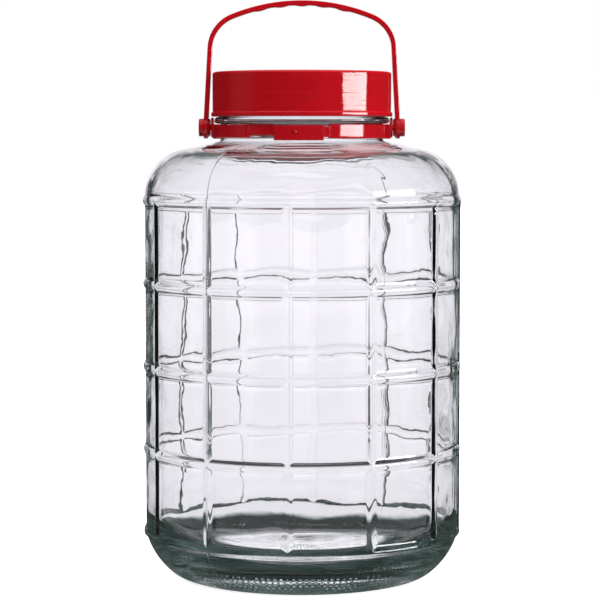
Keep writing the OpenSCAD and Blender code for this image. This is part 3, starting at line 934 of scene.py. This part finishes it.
def tinted(tree, calc, level, camera, dark):
    """The light's colour by its level: greenish where dark, cool on the panels, and white to the camera."""
    tint = tree.nodes.new("ShaderNodeValToRGB")
    tint.color_ramp.elements[0].color = dark
    tint.color_ramp.elements[1].color = (1, 1, 1, 1)
    for at in (0.25, 0.95):
        tint.color_ramp.elements.new(at).color = PANEL_TINT
    tree.links.new(calc("MAXIMUM", calc("MULTIPLY", level, 0.5), camera), tint.inputs["Fac"])
    return tint.outputs["Color"]


def floor_mesh():
    """A flat disc made of rings of quads round a fan."""
    verts = [(0, 0, 0)]
    for r in FLOOR_RINGS:
        verts += [(r * math.cos(t), r * math.sin(t), 0) for t in even_angles(FLOOR_SIDES)]
    faces = [(0, 1 + j, 1 + (j + 1) % FLOOR_SIDES) for j in range(FLOOR_SIDES)]
    faces += [tuple(1 + v for v in f) for f in grid_faces(len(FLOOR_RINGS), FLOOR_SIDES)]
    mesh = bpy.data.meshes.new("floor")
    mesh.from_pydata(verts, [], faces)
    return mesh


def floor_material():
    """Plain pale paper to the camera. Seen through glass it glows, with a painted light disc under the base,
    painted shade round the foot and the studio's panels painted on further out.
    """
    mat, tree, bsdf, add = shader("floor")
    calc, ramp = node_kit(tree)
    bsdf.inputs["Base Color"].default_value = FLOOR_WHITE
    bsdf.inputs["Roughness"].default_value = FLOOR_ROUGH
    bsdf.inputs["Specular IOR Level"].default_value = 0.0
    place = add("ShaderNodeTexCoord").outputs["Object"]
    length = add("ShaderNodeVectorMath")
    length.operation = "LENGTH"
    tree.links.new(place, length.inputs[0])
    out = length.outputs["Value"]
    split = add("ShaderNodeSeparateXYZ")
    tree.links.new(place, split.inputs[0])
    path = add("ShaderNodeLightPath")
    camera = path.outputs["Is Camera Ray"]
    through = calc("MULTIPLY", path.outputs["Is Transmission Ray"], calc("SUBTRACT", 1.0, camera))
    other = calc("SUBTRACT", 1.0, calc("ADD", through, camera))

    far = ramp(out, WALL_FROM, WALL_TO)
    wall = calc("MULTIPLY", far, panels(calc, ramp, split.outputs["X"], split.outputs["Y"]))
    wall = calc("ADD", calc("SUBTRACT", 1.0, far), wall)
    # Painted shade in a dark ring round the foot and a painted glowing disc under the base, both seen only
    # through glass
    near = ramp(out, PAINTED_SHADE_R, FLOOR_WHITE_R, PAINTED_SHADE_LEVEL, 1.0)
    near = calc("MAXIMUM", near, ramp(out, FOOT_R + FOOT_EDGE, FOOT_R - FOOT_EDGE, 0.0, PAINTED_FOOT_GLOW))
    near = calc("MULTIPLY", near, ramp(out, PANEL_NEAR, PANEL_FAR, PANEL_LOW, PANEL_HIGH))
    seen = calc("MULTIPLY", calc("MULTIPLY", near, wall), through)
    direct = calc("MULTIPLY", camera, ramp(out, GLOW_FROM, GLOW_TO, FLOOR_GLOW, 1.0))
    # The floor's level: what glass sees, a faint painted fill glow towards other surfaces, and its glow to
    # the camera
    level = calc("ADD", calc("ADD", seen, calc("MULTIPLY", other, FLOOR_PAINTED_FILL)), direct)

    glow = add("ShaderNodeEmission")
    tree.links.new(level, glow.inputs["Strength"])
    tree.links.new(tinted(tree, calc, level, camera, PAINTED_DARK_FLOOR_TINT), glow.inputs["Color"])
    both = add("ShaderNodeAddShader")
    tree.links.new(glow.outputs[0], both.inputs[0])
    tree.links.new(bsdf.outputs[0], both.inputs[1])
    mix = add("ShaderNodeMixShader")
    tree.links.new(camera, mix.inputs["Fac"])
    tree.links.new(glow.outputs[0], mix.inputs[1])
    tree.links.new(both.outputs[0], mix.inputs[2])
    tree.links.new(mix.outputs["Shader"], tree.nodes["Material Output"].inputs["Surface"])
    return mat


def make_floor():
    """A pale round floor that fades into the bright surroundings, so no horizon shows."""
    floor = bpy.data.objects.new("floor", floor_mesh())
    bpy.context.scene.collection.objects.link(floor)
    floor.data.materials.append(floor_material())


def gloss_level(calc, ramp, x, y, z, away):
    """What the gloss mirrors: the soft boxes, the pale backdrop at grazing angles, and the bright ceiling."""
    front = calc("ARCTAN2", x, calc("MULTIPLY", y, -1.0))
    key = calc("MULTIPLY", ramp(front, KEY_FROM, KEY_FROM + KEY_EDGE), ramp(front, KEY_TO, KEY_TO - KEY_EDGE))
    key = calc("MULTIPLY", key, calc("MULTIPLY", ramp(z, *KEY_RISE), ramp(z, *KEY_FADE)))
    fill = calc("MULTIPLY", ramp(front, *FILL_RISE), ramp(front, *FILL_FADE))
    boxes = calc("ADD", calc("MULTIPLY", key, KEY_LEVEL), calc("MULTIPLY", fill, FILL_LEVEL))
    backdrop = calc("MULTIPLY", ramp(away, *BACKDROP_TURN, 0.0, BACKDROP_LEVEL), ramp(z, *BACKDROP_TOP))
    ceiling = ramp(z, *CEILING, CEILING_LOW, CEILING_HIGH)
    return calc("ADD", boxes, calc("ADD", backdrop, ceiling))


def soft_level(calc, x, y, z):
    """Soft light on the plastic: brighter from the right, a little from behind and above."""
    level = calc("MULTIPLY_ADD", z, SOFT_UP, SOFT_LEVEL)
    level = calc("MULTIPLY_ADD", y, SOFT_BACK, level)
    return calc("MAXIMUM", calc("MULTIPLY_ADD", x, SOFT_RIGHT, level), SOFT_LEAST)


def make_world():
    """A bright-field studio: white panels behind glass, soft boxes for the gloss, and soft light."""
    world = bpy.data.worlds.new("studio")
    bpy.context.scene.world = world
    world.use_nodes = True
    world.cycles.sampling_method = "NONE"
    tree = world.node_tree
    calc, ramp = node_kit(tree)
    split = tree.nodes.new("ShaderNodeSeparateXYZ")
    tree.links.new(tree.nodes.new("ShaderNodeTexCoord").outputs["Generated"], split.inputs[0])
    x, y, z = split.outputs
    away = calc("ABSOLUTE", calc("ARCTAN2", x, y))

    path = tree.nodes.new("ShaderNodeLightPath")
    camera = path.outputs["Is Camera Ray"]
    glossy = path.outputs["Is Glossy Ray"]
    clear = path.outputs["Is Transmission Ray"]
    through = calc("MULTIPLY", clear, calc("SUBTRACT", 1.0, camera))
    mirrored = calc("MULTIPLY", glossy, calc("SUBTRACT", 1.0, clear))
    plain = calc("SUBTRACT", 1.0, calc("MAXIMUM", camera, calc("MAXIMUM", glossy, clear)))

    wall = calc("MULTIPLY", panels(calc, ramp, x, y), ramp(z, *PANEL_TOP, 1.0, ABOVE_PANELS))
    behind = calc("ADD", wall, ramp(z, *OVERHEAD, 0.0, OVERHEAD_LEVEL))
    level = calc("ADD", camera, calc("MULTIPLY", behind, through))
    level = calc("ADD", level, calc("MULTIPLY", gloss_level(calc, ramp, x, y, z, away), mirrored))
    level = calc("ADD", level, calc("MULTIPLY", soft_level(calc, x, y, z), plain))
    background = tree.nodes["Background"]
    tree.links.new(tinted(tree, calc, level, camera, DARK_WALL_TINT), background.inputs["Color"])
    tree.links.new(level, background.inputs["Strength"])


# ---------------------------------------------------------------- build
def dress(piece, body, node, material):
    """Rides a piece on its body in place of its CAD node, with its finish."""
    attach(piece, body)
    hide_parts(node)
    piece.data.materials.clear()
    piece.data.materials.append(material)


make_camera()
make_floor()
make_world()
glass = glass_material()
red = red_material("red_plastic", LID_RED, 0.07)
dark_red = red_material("red_ring_plastic", RING_RED, 0.08)
foam = foam_material()

dress(make_jar(), "jar", "glass_jar", glass)
dress(make_lid(), "lid", "lid", red)
dress(make_liner(), "liner", "lid_liner", foam)
dress(make_ring(), "ring", "neck_ring", dark_red)
dress(make_handle(), "handle", "handle", red)
dress(make_pin(1, "pin_right"), "ring", "pivot_pin_right", dark_red)
dress(make_pin(-1, "pin_left"), "ring", "pivot_pin_left", dark_red)

# The glass needs many bounces before its edges clear
GLASS_BOUNCES, GLOSSY_BOUNCES = 24, 8
scene = bpy.context.scene
scene.view_settings.view_transform = "Standard"
scene.cycles.max_bounces = GLASS_BOUNCES
scene.cycles.transmission_bounces = GLASS_BOUNCES
scene.cycles.glossy_bounces = GLOSSY_BOUNCES
